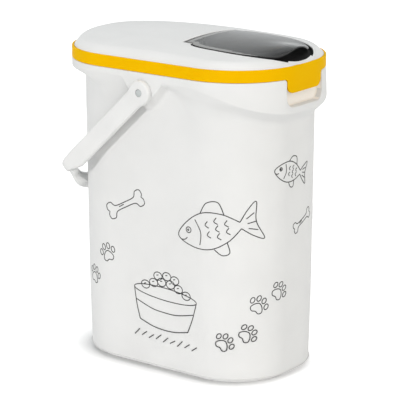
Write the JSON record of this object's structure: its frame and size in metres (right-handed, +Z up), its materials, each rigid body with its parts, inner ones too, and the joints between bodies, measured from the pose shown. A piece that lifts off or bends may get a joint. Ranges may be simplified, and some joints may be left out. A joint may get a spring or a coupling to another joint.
{
  "type": "pet food bin",
  "caption": "Rounded white pet food bin with a yellow press-fit lid ring, a domed cover with a smoke pour flap, and a swinging white bail handle.",
  "frame": {"origin": "centre of the lid in plan, on the flat underside of the foot", "axes": "+X towards the pouring end of the lid, +Y towards a long side, +Z up"},
  "size_m": [0.2791, 0.1912, 0.3525],
  "materials": {
    "tub_white": "satin",
    "ring_yellow": "satin",
    "cover_white": "satin",
    "seal_grey": "matt",
    "flap_smoke": "gloss",
    "bead_dark": "matt",
    "well_black": "satin",
    "bail_white": "satin",
    "pin_grey": "satin"
  },
  "bodies": {
    "bin": {"bin_body": "tub_white", "handle_pin_left": "pin_grey", "handle_pin_right": "pin_grey"},
    "lid": {"lid_ring": "ring_yellow", "lid_cover": "cover_white", "lid_seal": "seal_grey", "finger_well": "well_black"},
    "flap": {"pour_flap": "flap_smoke", "flap_seal": "bead_dark"},
    "bail": {"bail_handle": "bail_white"}
  },
  "joints": [
    {"name": "lid_lift", "type": "slide", "parent": "bin", "child": "lid", "axis": [0, 0, 1], "range_m": [0, 0.06]},
    {"name": "flap_hinge", "type": "hinge", "parent": "lid", "child": "flap", "pos_m": [0.0195, 0, 0.34727], "axis": [0, -1, 0], "range_deg": [0, 100]},
    {"name": "handle_swing", "type": "hinge", "parent": "bin", "child": "bail", "pos_m": [-0.004, 0, 0.302], "axis": [0, 1, 0], "range_deg": [0, 250]}
  ]
}
